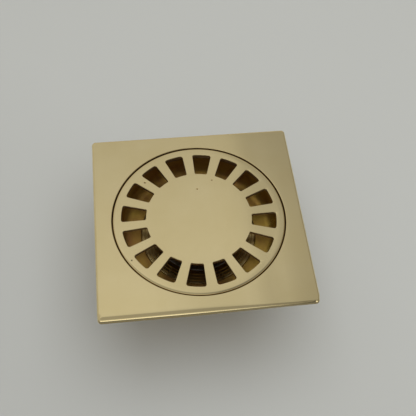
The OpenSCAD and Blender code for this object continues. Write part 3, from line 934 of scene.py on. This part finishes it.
def make_nut(node, material):
    """Hexagonal nut: flats with chamfered corners, and a bore with bevelled ends."""
    lowest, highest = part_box(node)
    flats = (highest.y - lowest.y) / 2
    corner = flats / math.cos(math.pi / 6)
    sides = 144
    chamfer_slope = math.tan(math.radians(30))
    chamfer_r = 0.97 * flats              # where the chamfer meets the end face
    bm = bmesh.new()

    def hexagon(a):
        return flats / math.cos((a + math.pi / 6) % (math.pi / 3) - math.pi / 6)

    def outside(z):
        room = min(z - lowest.z, highest.z - z)
        limit = chamfer_r + room / chamfer_slope
        return [Vector((min(hexagon(a), limit) * math.cos(a), min(hexagon(a), limit) * math.sin(a), z))
                for a in (2 * math.pi * s / sides for s in range(sides))]

    rows = 12
    depth = (corner - chamfer_r) * chamfer_slope
    levels = [lowest.z + depth * k / rows for k in range(rows + 1)]
    levels += [highest.z - depth * (rows - k) / rows for k in range(rows + 1)]
    rings = [outside(z) for z in levels]
    bevel = 0.3 * MM
    rings += [ring_of(sides, STEM_R + bevel, highest.z), ring_of(sides, STEM_R, highest.z - bevel),
              ring_of(sides, STEM_R, lowest.z + bevel), ring_of(sides, STEM_R + bevel, lowest.z)]
    skin(bm, rings, along=True)
    return piece(node + "_finished", bm, "valve", node, material, sharp=20)


def make_spring_cap(material):
    lowest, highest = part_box("spring_cap")
    skirt_in = highest.x - 0.6 * MM
    roof = highest.z - 0.8 * MM
    bm = turned([(STEM_R, highest.z, 0.05 * MM), (STEM_R, roof, 0.05 * MM), (skirt_in, roof, 0.2 * MM),
                 (skirt_in, lowest.z, 0.1 * MM), (highest.x, lowest.z, 0.15 * MM),
                 (highest.x, highest.z, 0.5 * MM)], segments=96)
    return piece("spring_cap_finished", bm, "valve", "spring_cap", material)


def make_valve_spring(material):
    """Compression spring whose end turns lie flat."""
    lowest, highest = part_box("valve_spring")
    wire = 0.2 * MM                       # radius of the wire
    turns, flat_turns, per_turn = 6, 0.75, 40
    radius = 3.4 * MM
    closing = 2 * wire * 0.55             # the rise of one flat turn
    span = highest.z - lowest.z - 2 * wire - 2 * closing * flat_turns
    path = []
    for k in range(turns * per_turn + 1):
        t = k / per_turn
        flat = min(t, flat_turns) + max(0, t - turns + flat_turns)
        rise = min(1, max(0, (t - flat_turns) / (turns - 2 * flat_turns)))
        a = 2 * math.pi * t
        path.append((radius * math.cos(a), radius * math.sin(a),
                     lowest.z + wire + closing * flat + span * rise))
    bm = bmesh.new()
    sweep(bm, path, wire, sides=14, round_ends=False)
    made = piece("valve_spring_finished", bm, "core", "valve_spring", material)
    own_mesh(made)
    return made


# ---------------------------------------------------------------- hair basket and its handle

EAR_X = 18.4 * MM


def make_basket(material):
    """Pressed cup with a pierced floor and rolled corners, and two ears for the handle."""
    bm = bmesh.new()
    flat_r = BASKET_R - 1.8 * MM
    hole_r, pitch = 1.2 * MM, 4 * MM
    holes = [circle_outline(hole_r, 28, clockwise=True)]
    for ring in (1, 2, 3):
        for i in range(6 * ring):
            a = math.radians(i * 60 / ring)
            centre = (ring * pitch * math.cos(a), ring * pitch * math.sin(a))
            holes.append(circle_outline(hole_r, 28, centre, True))
    bottoms = [[bm.verts.new(p) for p in ring_of(SEGMENTS, flat_r, BASKET_LOW)]]
    tops = [[bm.verts.new(p) for p in ring_of(SEGMENTS, flat_r, BASKET_LOW + SHEET)]]
    for hole in holes:
        rings = [[Vector((q.x, q.y, z)) for q in inset_loop(hole, inset)]
                 for inset, z in edge_steps(BASKET_LOW, BASKET_LOW + SHEET, 0.08 * MM, 0.15 * MM)]
        rows = skin(bm, rings)
        bottoms.append(rows[0])
        tops.append(rows[-1])
    cap(bm, bottoms)
    cap(bm, tops)
    inner_r = BASKET_R - SHEET
    wall = fillet([(flat_r, BASKET_LOW + SHEET, 0), (inner_r, BASKET_LOW + SHEET, 0.9 * MM),
                   (inner_r, FLOOR, 0.5 * MM), (BASKET_RIM_R, FLOOR, 0.25 * MM),
                   (BASKET_RIM_R, BASKET_RIM_LOW, 0.25 * MM), (BASKET_R, BASKET_RIM_LOW, 0.1 * MM),
                   (BASKET_R, BASKET_LOW, 1.6 * MM), (flat_r, BASKET_LOW, 0)], closed=False)
    lathe(bm, wall, closed=False)
    for side in (-1, 1):
        add_ear(bm, side * EAR_X, BASKET_RIM_LOW + 0.4 * MM)
    return piece("basket_finished", bm, "basket", "basket", material)


def add_ear(bm, x, z_low):
    """A small upright tab with a round top and the hole for the handle's pin."""
    half_w, half_t = 1.6 * MM, 0.5 * MM
    outline = [Vector((-half_w, z_low)), Vector((half_w, z_low))]
    for k in range(25):
        a = math.pi * k / 24
        outline.append(Vector((half_w * math.cos(a), BAIL_Z + half_w * math.sin(a))))
    hole = circle_outline(BAIL_WIRE_R + 0.1 * MM, 32, (0, BAIL_Z), True)
    tab = bmesh.new()
    plate(tab, outline, [hole], x - half_t, x + half_t, (0.12 * MM, 0.12 * MM), (0.08 * MM, 0.08 * MM))
    for v in tab.verts:
        v.co = Vector((v.co.z, v.co.x, v.co.y))
    mesh = bpy.data.meshes.new("ear")
    tab.to_mesh(mesh)
    tab.free()
    bm.from_mesh(mesh)
    bpy.data.meshes.remove(mesh)


def make_basket_bail(material):
    """Folding wire handle, lying flat across the basket's mouth."""
    pin_out = high("basket_bail").x
    leg_x = EAR_X - 0.5 * MM - BAIL_WIRE_R - 0.3 * MM
    reach = high("basket_bail").y - BAIL_WIRE_R
    bend, knee = 3 * MM, 0.9 * MM
    corners = [(pin_out - BAIL_WIRE_R, 0, 0), (leg_x, 0, knee), (leg_x, reach, bend),
               (-leg_x, reach, bend), (-leg_x, 0, knee), (-pin_out + BAIL_WIRE_R, 0, 0)]
    path = [Vector((p.x, p.y, BAIL_Z)) for p in fillet(corners, closed=False)]
    bm = bmesh.new()
    sweep(bm, path, BAIL_WIRE_R, sides=24)
    return piece("basket_bail_finished", bm, "bail", "basket_bail", material, sharp=50)


# ---------------------------------------------------------------- build it all

make_camera()
make_stage()

panel_brass = polished_brass("panel_brass", 3 * MM, 47 * MM)
grate_brass = polished_brass("grate_brass", 0.9 * MM, 39.6 * MM)
bowl_brass = satin_brass("bowl_brass", (0.57, 0.39, 0.07), (0.34, 0.135, 0.055), 0.26, 0.55 * MM, 0.8)
outlet_brass = satin_brass("outlet_brass", (0.70, 0.55, 0.28), (0.56, 0.41, 0.19), 0.30, 0.45 * MM)
core_brass = satin_brass("core_brass", (0.66, 0.52, 0.23), (0.50, 0.35, 0.14), 0.20, 0.40 * MM)
basket_steel = stainless("basket_steel", 0.22)
stem_steel = stainless("stem_steel", 0.18)
wire_steel = spring_steel()
rubber = black_rubber()

make_panel(panel_brass)
make_bowl(bowl_brass)
make_spigot(outlet_brass)
make_grate(grate_brass)
make_grate_ring(rubber)
make_basket(basket_steel)
make_basket_bail(stem_steel)
make_core_body(core_brass)
make_o_ring("upper_o_ring", rubber)
make_o_ring("lower_o_ring", rubber)
make_guide_bridge(core_brass)
make_bridge_circlip(wire_steel)
make_guide_bush(nylon())
make_valve_stem(stem_steel)
make_valve_seal(silicone())
make_valve_disc(core_brass)
make_clamp_washer(stem_steel)
make_nut("lock_nut", stem_steel)
make_spring_cap(core_brass)
make_nut("cap_nut", stem_steel)
make_valve_spring(wire_steel)
